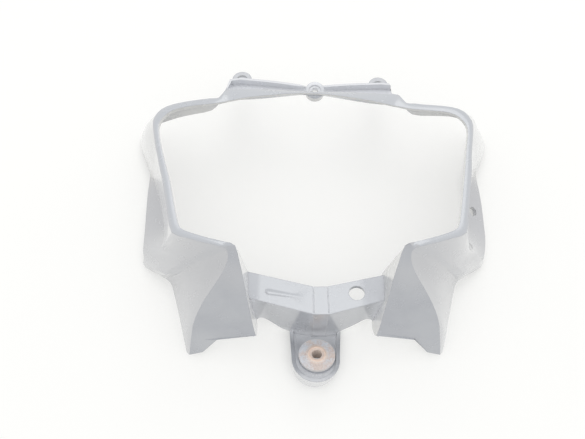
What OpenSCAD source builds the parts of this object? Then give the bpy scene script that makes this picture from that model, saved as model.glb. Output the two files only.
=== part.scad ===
// Headlight cowl for a naked motorbike, lying on its back with the opening towards +Z.
// +X is the bike's left-right width, +Y is up on the bike, z = 0 is the plane the rear edges rest on.

/* [Overall] */
// Width over the flared upper corners
overall_w = 263.8; // [240:0.2:290]
// Height from the lower mounting tab to the screw ears
overall_h = 225.3; // [210:0.1:240]
// Depth from the rear edges to the two points below the opening
overall_d = 75; // [68:1:84]
// Wall thickness of the moulding
wall = 2.4; // [2:0.1:2.8]

/* [Opening] */
// How much the lip round the opening leans back towards the top, mm of depth per mm of height
rake = 0.24; // [0.2:0.01:0.28]
// How much the lip falls away towards the sides, mm of depth per mm of width
sweep = 0.06; // [0.03:0.01:0.09]
// How far the inner edge of the lip is turned down
lip_roll = 2.8; // [2.4:0.1:3.4]

/* [Set of the moulding] */
// Sideways lean that the thin upper frame has taken
lean = 1.1; // [0:0.1:3]
// Height by which the top rail sits high on the left and low on the right
skew = 1.9; // [0:0.1:3]
// How much further forward the wall under the top of the lip ends on the right
twist = 3.7; // [0:0.1:5]
// Sideways shift of the rear edges of the flares and wings
shift = 1.2; // [0:0.1:2]

/* [Top rail] */
// Outer diameter of the two screw ears
ear_d = 14.8; // [13:0.1:16]
// Outer diameter of the middle screw boss
boss_d = 13; // [12:0.1:15]
// Screw hole in the ears and the middle boss
screw_d = 4.2; // [3.6:0.1:5]
// Shallow seat round each screw hole
seat_d = 8; // [7:0.1:9.4]
// Distance of each ear from the middle
ear_x = 51.2; // [50:0.1:52]

/* [Crossbar] */
// Angle of each arm of the shallow vee, degrees
vee = 14.1; // [12.5:0.1:15]
// Plate thickness of the crossbar
bar_t = 2.4; // [2:0.1:2.8]
// Wiring hole in the right arm
wire_d = 9.6; // [8:0.1:10.5]
// Length of the shallow groove in the left arm
groove_l = 21; // [16:0.5:23]

/* [Side wing] */
// Fixing hole in the right wing
side_d = 6.4; // [5:0.1:7]

/* [Lower tab] */
// Width of the tab
tab_w = 32; // [29:0.5:34]
// Slope of the tab face from the rest plane, degrees
tab_tilt = 32; // [29:0.5:34]
// Height of the rim that stands round the tab face
tab_rim = 2.6; // [1.5:0.1:3]
// Thickness of the tab face
tab_t = 3; // [2.5:0.1:3.4]
// Lean of the wall round the tab towards the crossbar, degrees
tab_lean = 7; // [4:0.5:8]

/* [Mounting collar] */
// Bore of the steel collar, for an M6 bolt
bore_d = 6.6; // [6.2:0.1:7]
// Outer diameter of the collar's sleeve
sleeve_d = 9.4; // [8.8:0.1:10]
// Gap between the collar's flange and the wall round the tab
flange_gap = 1.1; // [0.8:0.1:1.6]
// Thickness of the collar's flange
flange_t = 1.6; // [1.2:0.1:2]
// Radial gap between the rubber grommet and the steel sleeve
fit_gap = 0.1; // [0.05:0.05:0.2]

/* [Hidden] */
$fn = 64;

// The shapes below are drawn at 263.8 x 225.3 x 75 mm and stretched to the sizes asked for.
kx = overall_w / 263.8;
ky = overall_h / 225.3;
kz = overall_d / 75;
eps = 0.01;

plastic = [0.22, 0.24, 0.27];
rubber = [0.12, 0.12, 0.12];
steel = [0.45, 0.32, 0.22];

function clamp(v, lo, hi) = min(max(v, lo), hi);
function unit(v) = v / max(norm(v), 1e-9);
function mix(a, b, t) = a + (b - a) * t;

// The lip lies on two planes that lean back and fall away from the middle.
function lip_z(x, y) = 67.4 - rake * y - sweep * abs(x);
function on_lip(x, y) = [x, y, lip_z(x, y)];

// Puts a drawn point where the moulding really has it: stretched, and slightly racked.
function set(p) =
    let (
        up = clamp((p[1] - 2) / 24, 0, 1),
        top = clamp((p[1] - 15) / 40, 0, 1),
        front = clamp(p[2] / 45, 0, 1),
        corner = 1 - 0.85 * clamp((p[0] - 78) / 20, 0, 1),
        rear = clamp((24 - p[2]) / 12, 0, 1) * clamp((p[1] + 32) / 12, 0, 1),
        back = top * clamp((50 - p[2]) / 16, 0, 1) * clamp((114 - abs(p[0])) / 8, 0, 1),
        side = p[0] > 0 ? 1.5 * clamp((p[0] - 74) / 26, 0, 1) : -0.5 * clamp((-p[0] - 60) / 16, 0, 1)
    )
    [
        kx * p[0] - lean * up * front + shift * rear,
        ky * p[1] - skew * top * corner * clamp(p[0] / 50, -1, 1),
        kz * p[2] + twist * back * side
    ];

// One section through the shell runs from the opening outwards: inner edge and outer edge of the
// lip, then three points down the wall to the free edge. The turned-down edge comes before them.
function wall_row(b, c, f, out) =
    [b, c, mix(c, f, 0.34) + out, mix(c, f, 0.68) + out, f];

function lipped(rows) =
    [for (r = rows)
        let (thin = clamp((r[0][1] - 59.5) / 3, 0, 1))
        concat([r[0] - [0, 0, lip_roll * (1 - thin / 2)]], r)];

// Top rail, from the middle to its end. The wall drops behind the ridge to a ledge
// and turns up again at the back.
rail_rows = [
    [[0, 71.2, 49], [0, 73.7, 47.3], [0, 76.4, 43.6], [0, 79.4, 42.9], [0, 80.5, 43.2]],
    [[9, 70.9, 49], [9, 74.4, 46.8], [9, 77, 42.4], [9.5, 80, 40.8], [9.5, 80.9, 43.2]],
    [[25, 69.2, 49], [25, 75.4, 45.8], [25, 78.4, 37.4], [25.5, 85.4, 34.6], [25.5, 86.4, 38.2]],
    [[42, 66.7, 48.8], [42, 75.9, 44.8], [42, 78.7, 33.6], [43, 91.2, 28.2], [43, 92.4, 32]],
    [[54, 64.2, 48.3], [56, 76, 44.2], [57, 79, 32.2], [58.4, 93, 25.4], [58.4, 94.3, 29.2]],
    [[58.5, 62.9, 48.6], [59.6, 73.6, 46], [61.4, 76.4, 40], [62.4, 78.8, 35.8], [63.2, 80.8, 32]]
];

// Top of the lip out to the upper corner.
crown_rows = [
    wall_row(on_lip(62.5, 61.8), on_lip(63, 66.8), [65.5, 71, 40], [0, 0.4, 0]),
    wall_row(on_lip(68, 61.1), on_lip(68.8, 66.4), [71, 69.6, 33.4], [0, 0.4, 0]),
    wall_row(on_lip(80, 60), on_lip(81, 65), [83, 67.4, 32.4], [0, 0.4, 0]),
    wall_row(on_lip(91, 57.4), on_lip(93.4, 62.2), [96, 65, 31], [0.2, 0.4, 0]),
    wall_row(on_lip(97, 52.8), on_lip(101, 57.8), [107.5, 63, 27.5], [0.5, 0.5, 0])
];

// The wall flares out below the upper corner and comes down to the rear plane.
flare_rows = [
    wall_row(on_lip(100.1, 46.6), on_lip(104.6, 50.4), [118.5, 65, 18], [1, 0.5, 0]),
    wall_row(on_lip(100, 41), on_lip(104.3, 44), [128.2, 65.6, 5], [1.4, 0.4, 0]),
    wall_row(on_lip(98.4, 34.6), on_lip(102.5, 37), [131.9, 59.6, 0.6], [1.8, 0, 0]),
    wall_row(on_lip(95.7, 26), on_lip(99.9, 28), [128.6, 48.5, 0.4], [1.8, 0, 0]),
    wall_row(on_lip(94, 20.6), on_lip(98.2, 22.4), [123.4, 38, 0.4], [1.2, 0, 0])
];

// Below the flare the wall drops to a flat wing with a short skirt.
wing_rows = [
    [on_lip(92.4, 15.6), on_lip(96.6, 17), [111.2, 22.4, 21.5], [114.8, 24, 17.5], [117.4, 25, 1]],
    [on_lip(90, 8.2), on_lip(94.5, 9.4), [107.4, 12, 21], [115.6, 14, 16.4], [117.6, 14, 0.6]],
    [on_lip(87.1, -0.6), on_lip(91.8, 0.6), [103.6, 0, 21.8], [115.9, 3, 15.6], [117.8, 3, 0.6]],
    [on_lip(82.8, -15), on_lip(87.5, -14), [99.6, -14.4, 24], [115.7, -12.4, 14.6], [117.6, -12.4, 0.6]],
    [on_lip(79.8, -24.6), on_lip(84.4, -25), [97.2, -24, 29.6], [115.4, -23.6, 14], [117.6, -23.6, 1]]
];

// Outer face of the cheek, hanging from the lower run of the lip.
cheek_rows = [
    [on_lip(76.8, -31.8), on_lip(80.8, -35), [95.5, -34, 37], [113.2, -34.4, 14], [117.8, -34.4, 1.6]],
    [on_lip(70.4, -35.2), on_lip(72.6, -38.4), [87.5, -40, 45], [105.5, -40.4, 16.5], [112, -39.4, 2]],
    [on_lip(60, -38.7), on_lip(61.4, -41.8), [77.6, -45.4, 51.6], [96, -47.2, 23.6], [104, -43.6, 2.4]],
    wall_row(on_lip(51, -41.2), on_lip(53.4, -43.9), [98.4, -47.2, 3], [1.6, -2, 2.6])
];

// The cheek runs down to a pointed foot. Its inner face widens as the ridge leaves the opening.
tusk_rows = [
    wall_row([45.4, -43.4, 74.6], [49.8, -45.6, 72], [96, -50, 3.4], [1.8, -2.2, 2.8]),
    wall_row([43.5, -50.4, 66], [50, -50, 67.5], [94.6, -53.4, 4], [1.7, -1.8, 2.7]),
    wall_row([42.4, -55.9, 58], [53.3, -55.4, 62], [92.8, -58.4, 4.6], [1.5, -1.2, 2.4]),
    wall_row([41.6, -61.5, 51], [58, -60.4, 56], [91, -64, 5], [1.2, -0.6, 2]),
    wall_row([40.6, -67.6, 43.6], [64, -65.8, 47], [88.8, -70.4, 5.6], [0.9, -0.2, 1.5]),
    wall_row([39.2, -74.8, 35.4], [69.4, -71.8, 38.4], [86.8, -77, 6], [0.5, 0, 1]),
    wall_row([37.8, -81.7, 27.6], [75, -80, 26], [84.6, -84.6, 6.2], [0.3, 0, 0.6]),
    wall_row([36.6, -85.4, 24], [80, -95.4, 5.6], [82.4, -93.8, 3], [0, 0, 0])
];

// Rear edge of the cheek's inner wall, which runs back beside the opening to the crossbar.
inner_edge = [
    [44.7, -44.8, 69.5], [43.3, -46, 50], [42.2, -47.4, 27], [41, -53.2, 15.5],
    [39.4, -62, 9], [37.8, -71, 7], [36.9, -79.4, 9.6], [36.5, -84.8, 19.4]
];

half_rows = concat(
    lipped(concat(rail_rows, crown_rows, flare_rows, wing_rows, cheek_rows)),
    [for (i = [0 : len(tusk_rows) - 1]) concat([inner_edge[i]], tusk_rows[i])]
);

// Where the rolled lip ends and the cheeks begin.
lip_end = len(half_rows) - len(tusk_rows);
half_n = len(half_rows);

function mirrored(r) = [for (p = r) [-p[0], p[1], p[2]]];

// A row halfway between two others, on the smooth curve through four of them.
function between(r, i) =
    let (n = len(r), a = r[max(i - 1, 0)], b = r[i], c = r[i + 1], d = r[min(i + 2, n - 1)])
    [for (j = [0 : len(b) - 1]) (b[j] + c[j]) * 9 / 16 - (a[j] + d[j]) / 16];

function refine(r) =
    [for (i = [0 : 2 * len(r) - 2]) i % 2 == 0 ? r[i / 2] : between(r, (i - 1) / 2)];

// All sections from the left foot over the top to the right foot.
full_rows = concat(
    [for (i = [half_n - 1 : -1 : 1]) mirrored(half_rows[i])],
    half_rows
);
guide = [for (r = refine(full_rows)) [for (p = r) set(p)]];
rows_n = len(guide);

// Unit normal of the guide patch above-right of corner (i, j), pointing to the outside of the shell.
function patch_n(i, j) =
    unit(cross(guide[i + 1][j] - guide[i][j + 1], guide[i + 1][j + 1] - guide[i][j]));

// Mitred inside point under guide corner (i, j), one wall thickness away from every face there.
function inside(i, j) =
    let (
        list = [for (a = [i - 1, i], b = [j - 1, j])
            if (a >= 0 && a < rows_n - 1 && b >= 0 && b < 5) patch_n(a, b)],
        n = unit([for (k = [0 : 2]) [for (v = list) v[k]] * [for (v = list) 1]]),
        c = min([for (v = list) v * n])
    )
    guide[i][j] - n * wall / max(c, 0.62);

// 1 along the rolled lip, 0 on the cheeks.
function rolled(i) =
    let (h = abs(i - (rows_n - 1) / 2) / 2) clamp(lip_end - 0.5 - h, 0, 1);

// Fills in a section: the lip gets a slight crown, the foot its pointed toe.
function filled(r, i) =
    let (
        k = rolled(i),
        toe = i == 0 || i == rows_n - 1 ? 1 : 0,
        crown = [0, 0, 0.25 * k]
    )
    [
        r[0],
        r[1],
        mix(r[1], r[2], mix(0.56, 0.38, k)) + crown + [0, toe * 3.6, toe * 5.6],
        mix(r[1], r[2], mix(0.80, 0.78, k)) + crown - [0, toe * 0.6, toe * 1.4],
        r[2],
        mix(r[2], r[3], 0.14),
        mix(r[2], r[3], 0.56),
        r[3],
        mix(r[3], r[4], 0.5),
        r[4],
        r[5]
    ];

function outside_row(i) = filled(guide[i], i);
function inside_row(i) = filled([for (j = [0 : 5]) inside(i, j)], i);

// A closed shell between two grids of points of the same shape.
module between_grids(top, under) {
    m = len(top);
    n = len(top[0]);
    pts = concat([for (r = top) each r], [for (r = under) each r]);
    function at(i, j, s) = s * m * n + i * n + j;
    skin = [for (s = [0, 1], i = [0 : m - 2], j = [0 : n - 2])
        let (a = at(i, j, s), b = at(i + 1, j, s), c = at(i + 1, j + 1, s), d = at(i, j + 1, s))
        each s == 0 ? [[a, c, b], [a, d, c]] : [[a, b, c], [a, c, d]]];
    sides = [for (i = [0 : m - 2])
        let (
            a = at(i, 0, 0), b = at(i + 1, 0, 0), c = at(i, 0, 1), d = at(i + 1, 0, 1),
            e = at(i, n - 1, 0), f = at(i + 1, n - 1, 0), g = at(i, n - 1, 1), h = at(i + 1, n - 1, 1)
        )
        each [[a, b, d], [a, d, c], [e, h, f], [e, g, h]]];
    ends = [for (j = [0 : n - 2])
        let (
            a = at(0, j, 0), b = at(0, j + 1, 0), c = at(0, j, 1), d = at(0, j + 1, 1),
            e = at(m - 1, j, 0), f = at(m - 1, j + 1, 0), g = at(m - 1, j, 1), h = at(m - 1, j + 1, 1)
        )
        each [[a, d, b], [a, c, d], [e, f, h], [e, h, g]]];
    polyhedron(pts, concat(skin, sides, ends), convexity = 10);
}

module shell() {
    between_grids(
        [for (i = [0 : rows_n - 1]) outside_row(i)],
        [for (i = [0 : rows_n - 1]) inside_row(i)]
    );
}

// Section of the crossbar, drawn as height on the bike against depth. The upper leg faces up and
// forward, the lower leg drops back from the ridge.
leg_top = [-56.5, 30.13];
leg_ridge = [-74.3, 36];
leg_foot = [-84.1, 0];
arm_top = [-50, 27.99];

function leg_n(a, b) = let (d = unit(b - a)) [d[1], -d[0]];

module crossbar_section(top) {
    n1 = -leg_n(top, leg_ridge);
    n2 = -leg_n(leg_ridge, leg_foot);
    corner = leg_ridge + bar_t * (n1 + n2) / (1 + n1 * n2);
    scale([ky, kz]) polygon([top, leg_ridge, leg_foot, leg_foot + bar_t * n2, corner, top + bar_t * n1]);
}

// Runs a drawn section along +X.
module along_x(l) {
    rotate([90, 0, 90]) linear_extrude(l) children();
}

// The flat middle of the vee lies a little to the right.
flat_w = 9;
bar_mid = 2.7;
leg_slope = 18.25;

// Outline of each arm seen from above the screw ears: its lower edge rises in a soft curve
// to the cheek.
left_edge = [[-1, 50], [45, 50], [39.2, 7.2], [37.7, 6.8], [36.6, 9.2], [35.3, 11.3], [33.6, 12.2],
             [32, 12.1], [29.6, 10.6], [27, 8.2], [23.6, 5], [20.6, 2.9], [17, 2.4], [15.4, 2],
             [15.4, -1], [-1, -1]];
right_edge = [[-1, 50], [45, 50], [39.4, 7.4], [38.1, 7], [37, 9.4], [35.8, 11.6], [34.4, 13],
              [32.6, 14], [30.8, 13.6], [28.8, 12.3], [25.8, 10], [22.8, 8.2], [20, 6.8], [17.8, 5.8],
              [15.4, 5], [15.4, -1], [-1, -1]];

// One arm of the vee. It starts beside the flat middle, its upper edge climbs by the angle
// rise, and it is cut back to the cheek wall and along its lower edge. It lies a hair below the
// flat middle, because edges that meet exactly make a poor joint in the exact solid.
module arm(mid, rise, edge) {
    start = kx * mid + flat_w / 2;
    intersection() {
        translate([start, ky * leg_ridge[0], -0.05])
            rotate([0, 0, vee])
                translate([-3, -ky * leg_ridge[0], 0])
                    along_x(54 * kx) crossbar_section(arm_top);
        linear_extrude(60 * kz)
            polygon([[start - 0.3, -95 * ky], [50 * kx, -95 * ky],
                     [50 * kx, ky * leg_top[0] + (50 * kx - start) * tan(rise)],
                     [start - 0.3, ky * leg_top[0]]]);
        rotate([90, 0, 0])
            translate([0, 0, 40 * ky])
                linear_extrude(60 * ky)
                    polygon([for (p = edge) [kx * p[0], kz * p[1]]]);
    }
}

// Wiring hole, square to the upper leg of the right arm.
module wire_hole() {
    translate([24.6 * kx, -61 * ky, 33.1 * kz])
        rotate([0, 0, vee])
            rotate([-leg_slope, 0, 0])
                cylinder(h = 16, d = wire_d, center = true);
}

// Shallow round-bottomed trough pressed into the left arm.
module groove() {
    translate([-18.6 * kx, -62 * ky, 33.4 * kz])
        rotate([0, 0, -vee])
            rotate([-leg_slope, 0, 5.5])
                translate([0, 0, 2.7])
                    union() {
                        rotate([0, 90, 0]) cylinder(h = groove_l, r = 3.2, center = true, $fn = 40);
                        for (s = [-1, 1])
                            translate([s * groove_l / 2, 0, 0]) sphere(r = 3.2, $fn = 40);
                    }
}

module crossbar() {
    difference() {
        union() {
            translate([kx * bar_mid - flat_w / 2 - 0.4, 0, 0])
                along_x(flat_w + 0.8) crossbar_section(leg_top);
            arm(bar_mid, 11.5, right_edge);
            mirror([1, 0, 0]) arm(-bar_mid, 12.9, left_edge);
        }
        wire_hole();
        groove();
    }
    // Two fine seams where the arms meet the flat middle.
    for (s = [-1, 1])
        translate([kx * bar_mid + s * flat_w / 2, ky * (leg_top[0] + leg_ridge[0]) / 2,
                   kz * (leg_top[1] + leg_ridge[1]) / 2])
            rotate([-leg_slope, 0, 0])
                cube([0.8, 16.4, 0.8], center = true);
}

// The tab is a round-ended cup that narrows towards its end. Its face slopes, lower end towards
// the front.
tab_root = tab_w / 2 + 0.6;
tab_end = tab_w / 2 - 1.1;
tab_tip = -114.8 * ky;
tab_y = tab_tip + tab_end;
tab_top = 30;
flange_d = 2 * (tab_end - wall - flange_gap);
collar_at = [0.8, -97.1 * ky, 10.5];
grommet_lip = 1.4;

// The wall round the tab leans back towards the crossbar, turned about the foot of its tip.
module tab_body(inset) {
    translate([0, tab_tip, 0])
        rotate([-tab_lean, 0, 0])
            translate([0, -tab_tip, -2])
                linear_extrude(tab_top) {
                    translate([0, tab_y]) circle(r = tab_end - inset);
                    polygon([[inset - tab_root, -76 * ky], [tab_root + 1 - inset, -76 * ky],
                             [tab_end - inset, tab_y], [inset - tab_end, tab_y]]);
                }
}

// Everything above the sloping plane that lies h over the tab face.
module over_face(h) {
    translate(collar_at) rotate([-tab_tilt, 0, 0]) translate([-40, -60, h]) cube([80, 120, 60]);
}

module under_face(h) {
    translate(collar_at) rotate([-tab_tilt, 0, 0]) translate([-40, -60, h - 60]) cube([80, 120, 60]);
}

module tab() {
    difference() {
        tab_body(0);
        over_face(tab_rim);
        intersection() {
            tab_body(wall);
            over_face(0);
        }
        intersection() {
            translate([0, 0, -1]) tab_body(wall);
            under_face(-tab_t);
        }
        translate(collar_at) rotate([-tab_tilt, 0, 0]) cylinder(h = 30, r = neck_r() + fit_gap, center = true);
    }
}

function neck_r() = sleeve_d / 2 + 3.4;

// A screw ear or boss with a through hole and a shallow seat.
module screw_boss(d, h) {
    difference() {
        translate([0, 0, -h]) cylinder(h = h, d = d);
        translate([0, 0, -h - 1]) cylinder(h = h + 2, d = screw_d);
        translate([0, 0, -0.7]) cylinder(h = 2, d = seat_d);
    }
}

module ear(side) {
    at = set([side * ear_x, 100.2, 21]) + (side < 0 ? [-1.1, 1, 0] : [-0.8, 0, 0]);
    translate(at) {
        screw_boss(ear_d, 4.6);
        translate([-6, -8.8, -4.4]) cube([12, 4.4, 8.6]);
    }
}

// The middle boss is a short tube that hangs under the front band of the rail.
boss_tilt = 5;
boss_h = 3.9;

module at_boss() {
    translate([0.9 * kx, 76.7 * ky, 44.8 * kz]) rotate([boss_tilt, 0, 0]) children();
}

module middle_boss() {
    at_boss() screw_boss(boss_d, boss_h);
}

// Clears the band over the boss, so that a screw can go in from the front, and opens the
// rail under the boss.
module middle_hole() {
    at_boss() {
        translate([0, 0, -12]) cylinder(h = 12, d = screw_d);
        translate([0, 0, -boss_h - 12]) cylinder(h = 12, d = seat_d);
        translate([0, 0, -0.7]) cylinder(h = 10, d = screw_d + 0.6);
    }
}

// The right end of the rail is chipped away to a ragged edge.
module chipped_end() {
    translate([0, 0, 20 * kz])
        linear_extrude(31 * kz)
            scale([kx, ky])
                polygon([[56.2, 99], [57, 93.4], [58.2, 90.5], [58, 86.4], [60, 84], [59.2, 81.2], [61, 79.4],
                         [60.8, 77.6], [62.6, 76.4], [62.4, 73.6], [63.8, 72], [63.6, 69], [66, 68.6], [70, 99]]);
}

// The fixing hole in the right wing, square to its face.
module side_hole() {
    translate(set([107.9, -2.6, 19.3])) rotate([0, 26, 0]) cylinder(h = 16, d = side_d, center = true);
}

// The whole moulding as it comes out of the mould, before it is cut level on the rest plane.
module moulding() {
    difference() {
        union() {
            shell();
            for (side = [-1, 1]) ear(side);
        }
        middle_hole();
        side_hole();
        chipped_end();
    }
    middle_boss();
    crossbar();
    tab();
}

// Moves the drawing so that the origin lies under the middle of the cowl.
middle = [-1.19 * kx, 2.15 * ky, 0];

module cowl() {
    color(plastic)
        translate(middle)
            intersection() {
                moulding();
                translate([-200, -200, 0]) cube([400, 400, 120]);
            }
}

// Rubber grommet, clipped through the tab face with a lip on each side.
module mount_grommet() {
    color(rubber)
        translate(collar_at + middle) rotate([-tab_tilt, 0, 0])
            difference() {
                union() {
                    cylinder(h = grommet_lip, d = flange_d + 0.4);
                    translate([0, 0, -tab_t - 1]) cylinder(h = tab_t + 2, r = neck_r());
                    translate([0, 0, -tab_t - 1.8]) cylinder(h = 1.8, r = neck_r() + 1.6);
                }
                translate([0, 0, -10]) cylinder(h = 20, r = sleeve_d / 2 + fit_gap);
            }
}

// Steel collar: a flanged sleeve with a rolled bead round its mouth.
module mount_collar() {
    color(steel)
        translate(collar_at + middle) rotate([-tab_tilt, 0, 0])
            difference() {
                union() {
                    translate([0, 0, grommet_lip]) cylinder(h = flange_t, d = flange_d);
                    translate([0, 0, -tab_t - 2.4]) cylinder(h = tab_t + 2.4 + grommet_lip + 0.5, d = sleeve_d);
                    translate([0, 0, grommet_lip + flange_t])
                        rotate_extrude($fn = 48) translate([bore_d / 2 + 1.7, 0]) circle(r = 0.9, $fn = 14);
                }
                translate([0, 0, -20]) cylinder(h = 40, d = bore_d);
            }
}

cowl();
mount_grommet();
mount_collar();
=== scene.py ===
# %% [markdown]
# # The headlight cowl of a motorbike
# The cowl is the plastic surround that sits round a headlight. This one has been taken off the
# bike and lies on its back on a pale floor, with the opening for the headlight facing up. Its
# shape comes from the CAD model. This script gives it a camera, finishes, a floor and light.
#
# X runs across the bike, Y up the cowl from the tab to the screw ears, and Z is the height above
# the floor. The middle of the cowl is at X = 0, Y = 0. Lengths are in metres in Blender, and in
# millimetres where a name here says so.

# %% Open the frame
import math

import bpy
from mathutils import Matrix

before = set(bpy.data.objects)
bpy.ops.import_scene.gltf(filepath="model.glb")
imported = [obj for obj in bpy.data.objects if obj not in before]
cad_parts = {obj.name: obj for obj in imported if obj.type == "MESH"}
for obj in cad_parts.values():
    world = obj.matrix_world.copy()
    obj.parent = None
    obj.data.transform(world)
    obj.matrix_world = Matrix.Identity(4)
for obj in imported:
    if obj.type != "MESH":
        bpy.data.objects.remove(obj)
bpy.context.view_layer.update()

mm_per_m = 1000

# %% [markdown]
# ## The camera
# The photo was taken from beyond the lower end of the cowl, nearly straight down, so the camera
# hangs about 30 cm above the floor over the tab, and looks down and a little up the cowl. It
# could be aimed with a constraint, but a camera with no turn looks straight down, so one turn of
# 20 degrees about X is enough. The other two turns only take up the tilt of a hand-held camera.

# %% Camera
sensor_mm = 36
lens_mm = 27.72
nearest_seen_m = 0.01
camera_place_m = (-0.01704, -0.11048, 0.30521)
camera_turn_degrees = (20.003, -0.287, -0.005)

camera_data = bpy.data.cameras.new("camera")
camera_data.sensor_width = sensor_mm
camera_data.lens = lens_mm
camera_data.clip_start = nearest_seen_m
camera = bpy.data.objects.new("camera", camera_data)
camera.location = camera_place_m
camera.rotation_euler = [math.radians(a) for a in camera_turn_degrees]
bpy.context.scene.collection.objects.link(camera)
bpy.context.scene.camera = camera
print("camera height, mm:", round(mm_per_m * camera.location.z))

# %% [markdown]
# ## Colours
# A colour picked from a screen is bent for the eye, and a shader wants the straight one. Colours
# could be typed in straight, but then nobody could compare them with a picture. This helper
# turns screen values from 0 to 255 into the numbers that Blender's shaders take. A plain grey
# from 0 to 1, used as a mask or a roughness, needs no such turn.

# %% Colour helpers
def straight(value):
    v = value / 255
    return v / 12.92 if v <= 0.04045 else ((v + 0.055) / 1.055) ** 2.4


def paint(r, g, b):
    return (straight(r), straight(g), straight(b), 1)


def grey(v):
    return (v, v, v, 1)


print("mid grey, straight:", round(straight(128), 3))

# %% [markdown]
# ## Wiring a material
# A node material is a small circuit. It can be drawn by hand in the shader editor, or written
# down as it is here, which keeps it readable and easy to repeat. These helpers make a material
# with its main shader, add a node, and join two sockets.

# %% Material helpers
def new_finish(name):
    finish = bpy.data.materials.new(name)
    finish.use_nodes = True
    tree = finish.node_tree
    return finish, tree, tree.nodes["Principled BSDF"]


def add_node(tree, kind, **settings):
    node = tree.nodes.new("ShaderNode" + kind)
    for key, value in settings.items():
        if key in node.inputs:
            node.inputs[key].default_value = value
        else:
            setattr(node, key, value)
    return node


def join(tree, out_socket, in_socket):
    tree.links.new(out_socket, in_socket)


print("node helpers are ready")

# %% [markdown]
# ## Patches and ramps
# No part of an old cowl has one flat colour. Noise in the part's own coordinates gives patches
# of a size that can be stated in millimetres, and it needs no picture file. A colour ramp turns
# the noise into steps of paint, and a mix lays one colour over another by a mask.

# %% Patches and ramps
def blotches(tree, size_mm, detail=3, rough=0.5):
    place = add_node(tree, "TexCoord")
    noise = add_node(tree, "TexNoise", Scale=mm_per_m / size_mm, Detail=detail, Roughness=rough)
    join(tree, place.outputs["Object"], noise.inputs["Vector"])
    return noise.outputs["Fac"]


def steps(tree, fac, stops):
    ramp = add_node(tree, "ValToRGB")
    while len(ramp.color_ramp.elements) < len(stops):
        ramp.color_ramp.elements.new(0.5)
    for element, (place, colour) in zip(ramp.color_ramp.elements, stops):
        element.position = place
        element.color = colour
    join(tree, fac, ramp.inputs["Fac"])
    return ramp.outputs["Color"]


def blend_colours(tree, fac, low, high, kind="MIX"):
    mix = add_node(tree, "Mix", data_type="RGBA", blend_type=kind)
    for socket, value in ((mix.inputs[0], fac), (mix.inputs[6], low), (mix.inputs[7], high)):
        if isinstance(value, bpy.types.NodeSocket):
            join(tree, value, socket)
        else:
            socket.default_value = value
    return mix.outputs[2]


print("patches and ramps are ready")

# %% [markdown]
# ## Where edges and hollows are, and which way a face looks
# Worn plastic is palest along its edges, and its hollows are painted paler here, as painted light.
# The bevel node bends the surface direction near an edge, so the difference between the bent and
# the plain direction is an edge mask. Ambient occlusion gives the hollows: it is low wherever light
# is shut out. The third mask compares the surface direction with one axis, so it tells walls from
# level faces. All three follow the shape by themselves, which a painted mask wouldn't.

# %% Edge mask
def spread_between(tree, value, none_at, full_at, **settings):
    spread = add_node(tree, "MapRange", clamp=True, **settings)
    spread.inputs["From Min"].default_value = none_at
    spread.inputs["From Max"].default_value = full_at
    join(tree, value, spread.inputs["Value"])
    return spread.outputs["Result"]


def edge_mask(tree, radius_mm, none_at, full_at):
    bent = add_node(tree, "Bevel", samples=6)
    bent.inputs["Radius"].default_value = radius_mm / mm_per_m
    plain = add_node(tree, "NewGeometry")
    alike = add_node(tree, "VectorMath", operation="DOT_PRODUCT")
    join(tree, bent.outputs["Normal"], alike.inputs[0])
    join(tree, plain.outputs["Normal"], alike.inputs[1])
    return spread_between(tree, alike.outputs["Value"], none_at, full_at)


print("edge mask is ready")

# %% Hollow mask and facing mask
shut_in = 0.35
open_to_the_air = 0.97


# Where this mask is full, the hollows are painted paler, as painted light.
def hollow_mask(tree, reach_mm):
    shut = add_node(tree, "AmbientOcclusion", samples=8)
    shut.inputs["Distance"].default_value = reach_mm / mm_per_m
    return steps(tree, shut.outputs["AO"], [(shut_in, grey(1)), (open_to_the_air, grey(0))])


def facing_mask(tree, axis, none_at, full_at):
    way = add_node(tree, "NewGeometry")
    parts = add_node(tree, "SeparateXYZ")
    join(tree, way.outputs["Normal"], parts.inputs["Vector"])
    size = add_node(tree, "Math", operation="ABSOLUTE")
    join(tree, parts.outputs[axis], size.inputs[0])
    return spread_between(tree, size.outputs["Value"], none_at, full_at)


# The hollows are painted palest where less than this of the air is open, as painted light.
print("dust is thickest where less than", shut_in, "of the air is open")

# %% [markdown]
# ## Scratches
# Years of wiping and handling leave fine scratches. They could be modelled as grooves, but they
# are far finer than the faces of the mesh. A noise stretched a hundredfold along one direction,
# and cut so that only thin lines are left, gives them at no cost. Two directions are crossed
# later.

# %% Scratches
line_softness = 0.08


def scratches(tree, turn_degrees, across_mm, along_mm, keep):
    place = add_node(tree, "TexCoord")
    turn = add_node(tree, "Mapping")
    turn.inputs["Rotation"].default_value = (0, 0, math.radians(turn_degrees))
    along = mm_per_m / along_mm
    turn.inputs["Scale"].default_value = (mm_per_m / across_mm, along, along)
    join(tree, place.outputs["Object"], turn.inputs["Vector"])
    streaks = add_node(tree, "TexNoise", Scale=1, Detail=3, Roughness=0.6)
    join(tree, turn.outputs["Vector"], streaks.inputs["Vector"])
    return steps(tree, streaks.outputs["Fac"], [(keep, grey(0)), (keep + line_softness, grey(1))])


print("scratches are ready")

# %% [markdown]
# ## Finding a place on the cowl
# The cowl is one moulding, and still its parts are painted in different greys: the ledge of the
# rail is painted paler as painted light, the ends of the crossbar darker as painted shade, and the
# walls inside the opening paler as painted reflection. A mask for each place could be painted by
# hand, but that needs a picture file. Here a place is told by numbers: how far across, how far up
# the cowl, how high, and which way the face looks. Each number gives a soft ramp, and the ramps
# multiplied together leave only the place that is meant.

# %% Masks by place
def combine(tree, operation, first, *others):
    for other in others:
        step = add_node(tree, "Math", operation=operation)
        join(tree, first, step.inputs[0])
        join(tree, other, step.inputs[1])
        first = step.outputs["Value"]
    return first


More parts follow.
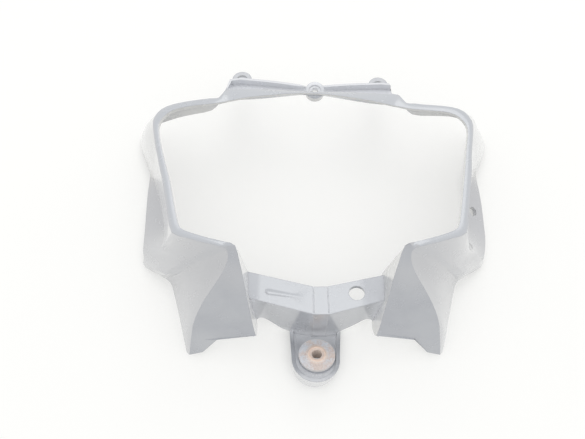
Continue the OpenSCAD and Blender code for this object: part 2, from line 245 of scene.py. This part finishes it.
def place_in_mm(tree, axis):
    place = add_node(tree, "TexCoord")
    scale = add_node(tree, "VectorMath", operation="SCALE")
    scale.inputs["Scale"].default_value = mm_per_m
    join(tree, place.outputs["Object"], scale.inputs[0])
    parts = add_node(tree, "SeparateXYZ")
    join(tree, scale.outputs["Vector"], parts.inputs["Vector"])
    return parts.outputs[axis]


def soft_ramp(tree, value, none_at, full_at):
    return spread_between(tree, value, none_at, full_at, interpolation_type="SMOOTHSTEP")


def ramp_along(tree, axis, none_at_mm, full_at_mm):
    return soft_ramp(tree, place_in_mm(tree, axis), none_at_mm, full_at_mm)


def ramp_from_middle(tree, none_at_mm, full_at_mm):
    side = add_node(tree, "Math", operation="ABSOLUTE")
    join(tree, place_in_mm(tree, "X"), side.inputs[0])
    return soft_ramp(tree, side.outputs["Value"], none_at_mm, full_at_mm)


print("masks by place are ready")

# %% [markdown]
# ## The crossbar, the rail and the level faces
# The crossbar joins the two cheeks below the opening, and its ends are painted darker where they
# meet them, as painted shade. The rail crosses the top between the screw ears, and the ledge behind
# it is painted paler, as painted light. Level faces near the front of the cowl are painted a little
# lighter, as painted light from the sky.

# %% Level faces, crossbar and rail
# Painted light: level faces near the front are painted a lighter grey, for the sky above them.
def level_face_painted_light_mask(tree):
    level = facing_mask(tree, "Z", 0.78, 0.92)
    near_the_front = ramp_along(tree, "Z", 22, 27)
    return combine(tree, "MULTIPLY", level, near_the_front)


# Painted shade: the ends of the crossbar are painted darker where they meet the cheeks.
def bar_end_painted_shade_mask(tree):
    right_end = ramp_along(tree, "X", 24, 30)
    left_end = ramp_along(tree, "X", -34, -38)
    ends = combine(tree, "MAXIMUM", right_end, left_end)
    level = facing_mask(tree, "Z", 0.8, 0.9)
    below_the_opening = ramp_along(tree, "Y", -38, -41)
    under_the_cheeks = ramp_along(tree, "Z", 45, 42)
    return combine(tree, "MULTIPLY", ends, level, below_the_opening, under_the_cheeks)


# Painted light: the ledge behind the rail is painted paler.
def rail_ledge_painted_light_mask(tree):
    above_the_opening = ramp_along(tree, "Y", 79, 86)
    over_the_ears = ramp_along(tree, "Z", 22.5, 25)
    between_the_rail_ends = ramp_from_middle(tree, 72, 66)
    return combine(tree, "MULTIPLY", above_the_opening, over_the_ears, between_the_rail_ends)


print("masks for the level faces, the crossbar and the rail are ready")

# %% [markdown]
# ## The walls
# The walls inside the opening face the middle, so their direction points against the direction
# outwards from the middle. That tells them from the outer walls, whatever the shape. The flares
# are the raised upper corners, the flanks are all the steep faces to the sides of the crossbar,
# and the hollow round the crossbar and the tab is the deepest. The walls, the flares and the flanks
# are painted paler as painted reflection of the white floor, and the hollow palest, as painted
# light.

# %% Walls, flares and the middle hollow
# Painted reflection: the walls inside the opening are painted paler, for the white floor they
# mirror.
def inner_wall_painted_reflection_mask(tree):
    way = add_node(tree, "NewGeometry")
    level = add_node(tree, "VectorMath", operation="MULTIPLY")
    level.inputs[1].default_value = (1, 1, 0)
    join(tree, way.outputs["Position"], level.inputs[0])
    outward = add_node(tree, "VectorMath", operation="NORMALIZE")
    join(tree, level.outputs["Vector"], outward.inputs[0])
    turned = add_node(tree, "VectorMath", operation="DOT_PRODUCT")
    join(tree, outward.outputs["Vector"], turned.inputs[0])
    join(tree, way.outputs["Normal"], turned.inputs[1])
    facing_the_middle = soft_ramp(tree, turned.outputs["Value"], -0.1, -0.45)
    upright = facing_mask(tree, "Z", 0.3, 0.12)
    return combine(tree, "MULTIPLY", facing_the_middle, upright)


# Painted reflection: the flares are painted paler, for the white floor they mirror.
def flare_painted_reflection_mask(tree):
    upper_half = ramp_along(tree, "Y", 8, 24)
    outer_edge = ramp_from_middle(tree, 98, 104)
    facing_sideways = facing_mask(tree, "X", 0.4, 0.8)
    return combine(tree, "MULTIPLY", upper_half, outer_edge, facing_sideways)


# Painted reflection: the steep faces beside the crossbar are painted paler, for the white floor
# they mirror.
def flank_painted_reflection_mask(tree):
    facing_sideways = facing_mask(tree, "X", 0.06, 0.34)
    beside_the_bar = ramp_from_middle(tree, 38, 46)
    return combine(tree, "MULTIPLY", facing_sideways, beside_the_bar)


# Painted light: the hollow round the crossbar and the tab is painted palest.
def middle_hollow_painted_light_mask(tree):
    between_the_cheeks = ramp_from_middle(tree, 44, 40)
    return combine(tree, "MULTIPLY", hollow_mask(tree, reach_mm=9), between_the_cheeks)


print("masks for the walls, the flares and the middle hollow are ready")

# %% [markdown]
# ## The moulded plastic: colour
# The cowl is one injection moulding of black plastic. The photo is pale, so it reads as a
# blue-grey, and that is the colour used. Cloudy patches, pale specks of dust and faint scratches
# keep it from looking new. One flat colour would be quicker, but it makes a part look like an
# empty model.

# %% Plastic patches and specks
patch_greys = [(0.34, paint(160, 163, 170)), (0.5, paint(167, 170, 176)),
               (0.68, paint(173, 176, 181))]
# Painted light: the next grey is laid on level faces near the front.
painted_sky_light_grey = paint(179, 183, 189)
speck_grey = paint(200, 202, 205)
speck_strength = [(0.65, grey(0)), (0.74, grey(0.4))]


def plastic_specks(tree):
    return steps(tree, blotches(tree, size_mm=1.6, detail=6, rough=0.75), speck_strength)


def plastic_patches(tree, specks):
    cloudy = blotches(tree, size_mm=30, detail=4, rough=0.6)
    base = steps(tree, cloudy, patch_greys)
    # Level faces near the front are painted lighter here, as painted light.
    tops = blend_colours(tree, level_face_painted_light_mask(tree), base, painted_sky_light_grey)
    return blend_colours(tree, specks, tops, speck_grey)


print("plastic patches:", len(patch_greys), "greys")

# %% Plastic scratches
scratch_grey = paint(210, 212, 217)
scratch_strength = 0.25


def scratched(tree, colour):
    lines = scratches(tree, turn_degrees=24, across_mm=0.5, along_mm=42, keep=0.66)
    more_lines = scratches(tree, turn_degrees=-61, across_mm=0.6, along_mm=55, keep=0.68)
    both_lines = blend_colours(tree, 1.0, lines, more_lines, "ADD")
    faint = blend_colours(tree, 1.0, both_lines, grey(scratch_strength), "MULTIPLY")
    return blend_colours(tree, faint, colour, scratch_grey)


print("scratches show at", scratch_strength, "of full strength")

# %% [markdown]
# ## The moulded plastic: paler and darker places
# Steep walls mirror the white surroundings and look light, while faces that look up stay dark. A
# glossy shader does part of that by itself. The rest is painted into the colour here, place by
# place, from the widest place to the smallest: painted reflection on the steep walls, painted light
# in the middle hollow and on the rail's ledge, and painted shade at the ends of the crossbar. Worn
# edges come last, because wear takes the dust off too.

# %% Plastic places
# Painted reflection on the walls, flares and flanks, painted light in the middle hollow and on the
# rail's ledge, painted shade at the crossbar's ends.
painted_light_and_shade_by_place = (
    (flank_painted_reflection_mask, paint(185, 186, 189)),
    (flare_painted_reflection_mask, paint(192, 192, 192)),
    (inner_wall_painted_reflection_mask, paint(218, 218, 216)),
    (middle_hollow_painted_light_mask, paint(230, 232, 236)),
    (rail_ledge_painted_light_mask, paint(218, 220, 225)),
    (bar_end_painted_shade_mask, paint(156, 160, 168)),
)
worn_grey = paint(200, 203, 210)


def painted_by_place(tree, colour):
    for mask, grey_there in painted_light_and_shade_by_place:
        colour = blend_colours(tree, mask(tree), colour, grey_there)
    worn = edge_mask(tree, radius_mm=0.7, none_at=0.93, full_at=0.6)
    return blend_colours(tree, worn, colour, worn_grey)


print("places with a paint of their own:", len(painted_light_and_shade_by_place))

# %% [markdown]
# ## The moulded plastic: gloss and skin
# Moulded plastic has a smooth skin over a surface that is never quite flat. A high index and a
# clear coat mirror the surroundings at a low angle, and a little sheen stands for dust that
# catches the light there. The gloss is broken by patches of roughness. Two bumps bend the
# surface: wide soft waves and a fine skin. The edges are rounded by less than a millimetre, in
# the shading only, because a real mould leaves no knife edge.

# %% Plastic gloss
gloss_patches = [(0.35, grey(0.16)), (0.7, grey(0.32))]
speck_roughness = grey(0.45)
plastic_gloss = {"IOR": 1.9, "Coat Weight": 1, "Coat Roughness": 0.1, "Coat IOR": 1.6,
                 "Sheen Weight": 0.35, "Sheen Roughness": 0.3}


def set_plastic_gloss(tree, shader, specks):
    rough = steps(tree, blotches(tree, size_mm=9, detail=5, rough=0.65), gloss_patches)
    rougher = blend_colours(tree, specks, rough, speck_roughness)
    join(tree, rougher, shader.inputs["Roughness"])
    for socket, value in plastic_gloss.items():
        shader.inputs[socket].default_value = value


print("plastic gloss:", plastic_gloss)

# %% Plastic skin
rounded_edge_mm = 0.8
wave_depth_m = 0.0006
skin_depth_m = 0.0002


def set_plastic_skin(tree, shader):
    soft_edges = add_node(tree, "Bevel", samples=6)
    soft_edges.inputs["Radius"].default_value = rounded_edge_mm / mm_per_m
    waves = add_node(tree, "Bump", Strength=0.18, Distance=wave_depth_m)
    join(tree, blotches(tree, size_mm=16, detail=1), waves.inputs["Height"])
    join(tree, soft_edges.outputs["Normal"], waves.inputs["Normal"])
    skin = add_node(tree, "Bump", Strength=0.06, Distance=skin_depth_m)
    join(tree, blotches(tree, size_mm=0.9, detail=2), skin.inputs["Height"])
    join(tree, waves.outputs["Normal"], skin.inputs["Normal"])
    join(tree, skin.outputs["Normal"], shader.inputs["Normal"])


print("edges look rounded by, mm:", rounded_edge_mm)

# %% Plastic finish
def make_plastic():
    finish, tree, shader = new_finish("cowl_plastic")
    specks = plastic_specks(tree)
    colour = scratched(tree, plastic_patches(tree, specks))
    join(tree, painted_by_place(tree, colour), shader.inputs["Base Color"])
    set_plastic_gloss(tree, shader, specks)
    set_plastic_skin(tree, shader)
    return finish


plastic = make_plastic()
print("plastic nodes:", len(plastic.node_tree.nodes))

# %% [markdown]
# ## The rubber grommet
# The grommet is soft black rubber, grey with age, pressed into the tab to keep vibration out of
# the bolt. It only shows as a thin dark ring under the steel disc, so a matt shader with a
# little dust is enough.

# %% Rubber finish
rubber_dust = [(0.4, paint(176, 179, 185)), (0.75, paint(198, 200, 204))]
rubber_roughness = 0.75


def make_rubber():
    finish, tree, shader = new_finish("grommet_rubber")
    dust = steps(tree, blotches(tree, size_mm=1.5, detail=5), rubber_dust)
    join(tree, dust, shader.inputs["Base Color"])
    shader.inputs["Roughness"].default_value = rubber_roughness
    return finish


rubber = make_rubber()
print("rubber nodes:", len(rubber.node_tree.nodes))

# %% [markdown]
# ## The rusty steel collar
# The collar was zinc plated. Most of the zinc has gone, and what is left is pale grey between
# patches of light brown rust. Round the bore, where the bolt's head sat, the rust is orange. Two
# sizes of blotch mix the browns and greys, and the distance from the collar's own axis tells
# where the orange ring ends. Real rust is no metal any more, so the shader stays a plain, rough
# one, with pits in the bump.

# %% Distance from the collar's axis
collar_place_m = (-0.00039, -0.09495, 0.0105)
collar_tilt_degrees = -32


def from_collar_axis(tree):
    place = add_node(tree, "TexCoord")
    turn = add_node(tree, "Mapping", vector_type="TEXTURE")
    turn.inputs["Location"].default_value = collar_place_m
    turn.inputs["Rotation"].default_value = (math.radians(collar_tilt_degrees), 0, 0)
    join(tree, place.outputs["Object"], turn.inputs["Vector"])
    flat = add_node(tree, "VectorMath", operation="MULTIPLY")
    flat.inputs[1].default_value = (mm_per_m, mm_per_m, 0)
    join(tree, turn.outputs["Vector"], flat.inputs[0])
    length = add_node(tree, "VectorMath", operation="LENGTH")
    join(tree, flat.outputs["Vector"], length.inputs[0])
    return length.outputs["Value"]


print("collar tilt, degrees:", collar_tilt_degrees)

# %% Rust colours
rust_browns = [(0.3, paint(206, 186, 178)), (0.5, paint(226, 212, 205)),
               (0.72, paint(244, 234, 226))]
zinc_greys = [(0.3, paint(208, 212, 219)), (0.55, paint(229, 232, 238)),
              (0.72, paint(244, 245, 248))]
ring_oranges = [(0.3, paint(238, 210, 192)), (0.6, paint(250, 228, 212)),
                (0.75, paint(252, 240, 230))]
# Painted light: the hollows of the collar, such as its bore, are painted in this pale grey.
collar_hollow_painted_light = paint(236, 234, 232)
worn_steel = paint(240, 236, 232)
ring_ends_mm = (5.6, 7.4)
rust_at, zinc_at = 0.42, 0.58


def rust_colour(tree, patches, grains):
    rust = steps(tree, grains, rust_browns)
    zinc = steps(tree, grains, zinc_greys)
    where = steps(tree, patches, [(rust_at, grey(0)), (zinc_at, grey(1))])
    disc = blend_colours(tree, where, rust, zinc)
    orange = steps(tree, grains, ring_oranges)
    outside_the_ring = spread_between(tree, from_collar_axis(tree), *ring_ends_mm)
    mixed = blend_colours(tree, outside_the_ring, orange, disc)
    # The collar's hollows are painted pale here, as painted light.
    lit_hollows = blend_colours(tree, hollow_mask(tree, reach_mm=6), mixed, collar_hollow_painted_light)
    worn = edge_mask(tree, radius_mm=0.5, none_at=0.99, full_at=0.85)
    return blend_colours(tree, worn, lit_hollows, worn_steel)


print("the orange ring fades between, mm:", ring_ends_mm)

# %% Rust finish
rust_roughness, zinc_roughness = 0.8, 0.42
pit_depth_m = 0.0005


def make_rust():
    finish, tree, shader = new_finish("collar_steel")
    patches = blotches(tree, size_mm=8, detail=6, rough=0.7)
    grains = blotches(tree, size_mm=1, detail=7, rough=0.8)
    join(tree, rust_colour(tree, patches, grains), shader.inputs["Base Color"])
    rough = steps(tree, patches, [(rust_at, grey(rust_roughness)), (zinc_at, grey(zinc_roughness))])
    join(tree, rough, shader.inputs["Roughness"])
    pits = add_node(tree, "Bump", Strength=0.6, Distance=pit_depth_m)
    join(tree, grains, pits.inputs["Height"])
    join(tree, pits.outputs["Normal"], shader.inputs["Normal"])
    return finish


rust = make_rust()
print("rust nodes:", len(rust.node_tree.nodes))

# %% [markdown]
# ## Dressing the CAD parts
# The CAD shapes are right as they stand, so they stay and only take a finish. Their faces come
# in as loose triangles. A weld joins them, and an edge split by angle lets gentle curves shade
# smoothly while the creases stay sharp. The cowl has many shallow creases, so its angle is the
# smaller one.

# %% Dress the parts
weld_distance_m = 0.00001


def dress(node, finish, crease_degrees):
    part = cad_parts[node]
    for slot in part.material_slots:
        slot.material = finish
    for face in part.data.polygons:
        face.use_smooth = True
    weld = part.modifiers.new("weld", "WELD")
    weld.merge_threshold = weld_distance_m
    split = part.modifiers.new("creases", "EDGE_SPLIT")
    split.split_angle = math.radians(crease_degrees)
    print(node, "faces:", len(part.data.polygons))


dress("cowl", plastic, crease_degrees=22)
dress("mount_grommet", rubber, crease_degrees=35)
dress("mount_collar", rust, crease_degrees=35)

# %% [markdown]
# ## The floor
# The floor is a plain, very pale slab. To the camera, and in the gloss of the plastic, it has to
# come out almost white and still carry the cowl's shadow. So what is seen there is partly a
# steady glow and partly a matt surface in the light, and the two add up to white. Both take the
# same grey, which ambient occlusion darkens close under the feet, for the thin dark line where a
# part touches a floor. Every other ray sees a plain matt surface, so no extra light reaches the
# cowl.

# %% Floor colours
floor_size_m = 6
floor_matt = (0.92, 0.92, 0.91, 1)
floor_seen = (0.42, 0.42, 0.413, 1)
floor_glow = 1.37
contact_grey = grey(0.24)
contact_reach_m = 0.014
contact_at, clear_at = 0.15, 0.8


def seen_ray(tree):
    ray = add_node(tree, "LightPath")
    return combine(tree, "MAXIMUM", ray.outputs["Is Camera Ray"], ray.outputs["Is Glossy Ray"])


def contact_shade(tree):
    close = add_node(tree, "AmbientOcclusion", samples=8)
    close.inputs["Distance"].default_value = contact_reach_m
    return steps(tree, close.outputs["AO"], [(contact_at, contact_grey), (clear_at, floor_seen)])


print("the glow alone gives", round(floor_seen[0] * floor_glow, 3), "of white")

# %% Floor finish
def make_floor_finish():
    finish = bpy.data.materials.new("floor_white")
    finish.use_nodes = True
    tree = finish.node_tree
    tree.nodes.clear()
    matt = add_node(tree, "BsdfDiffuse", Color=floor_matt)
    shade = contact_shade(tree)
    seen = add_node(tree, "BsdfDiffuse")
    join(tree, shade, seen.inputs["Color"])
    glow = add_node(tree, "Emission", Strength=floor_glow)
    join(tree, shade, glow.inputs["Color"])
    both = add_node(tree, "AddShader")
    join(tree, seen.outputs[0], both.inputs[0])
    join(tree, glow.outputs[0], both.inputs[1])
    pick = add_node(tree, "MixShader")
    join(tree, seen_ray(tree), pick.inputs["Fac"])
    join(tree, matt.outputs[0], pick.inputs[1])
    join(tree, both.outputs[0], pick.inputs[2])
    out = add_node(tree, "OutputMaterial")
    join(tree, pick.outputs[0], out.inputs["Surface"])
    return finish


floor_white = make_floor_finish()
print("floor nodes:", len(floor_white.node_tree.nodes))

# %% Floor
bpy.ops.mesh.primitive_plane_add(size=floor_size_m, location=(0, 0, 0))
floor = bpy.context.object
floor.name = "floor"
floor.data.materials.append(floor_white)
print("floor is", round(floor.dimensions.x, 1), "m wide")

# %% [markdown]
# ## Light
# The light in the photo is bright and even, with a little more of it from the top of the
# picture. An even white world gives nearly all of it: where the world itself is seen, also in a
# gloss, it is plain white, and the light it throws is a touch less. One large, weak lamp beyond
# the screw ears gives the soft shadows that fall towards the tab. Several small lamps would give
# several hard shadows, which the photo doesn't have.

# %% World
white_sky = 1
sky_light = 0.94


def make_sky():
    world = bpy.data.worlds.new("sky")
    bpy.context.scene.world = world
    world.use_nodes = True
    tree = world.node_tree
    sky = tree.nodes["Background"]
    sky.inputs["Color"].default_value = grey(1)
    level = add_node(tree, "MapRange")
    level.inputs["To Min"].default_value = sky_light
    level.inputs["To Max"].default_value = white_sky
    join(tree, seen_ray(tree), level.inputs["Value"])
    join(tree, level.outputs["Result"], sky.inputs["Strength"])
    return world


sky_world = make_sky()
print("world nodes:", len(sky_world.node_tree.nodes))

# %% Lamp
def soft_lamp(name, place_m, size_m, watts):
    lamp_data = bpy.data.lights.new(name, "AREA")
    lamp_data.shape = "DISK"
    lamp_data.size = size_m
    lamp_data.energy = watts
    lamp = bpy.data.objects.new(name, lamp_data)
    lamp.location = place_m
    aim = lamp.location.copy()
    lamp.rotation_euler = aim.to_track_quat("Z", "Y").to_euler()
    bpy.context.scene.collection.objects.link(lamp)
    print(name, "distance, m:", round(aim.length, 2))


soft_lamp("key_lamp", place_m=(0.1, 1.15, 1.1), size_m=1.15, watts=3.6)

# %% [markdown]
# ## The look of the picture
# Blender can bend the colours of a picture for a film look. The paints here were chosen as they
# appear on a screen, so the view is set to the plain standard one, which leaves them as written.

# %% View
view = bpy.context.scene.view_settings
view.view_transform = "Standard"
print("view transform:", view.view_transform)
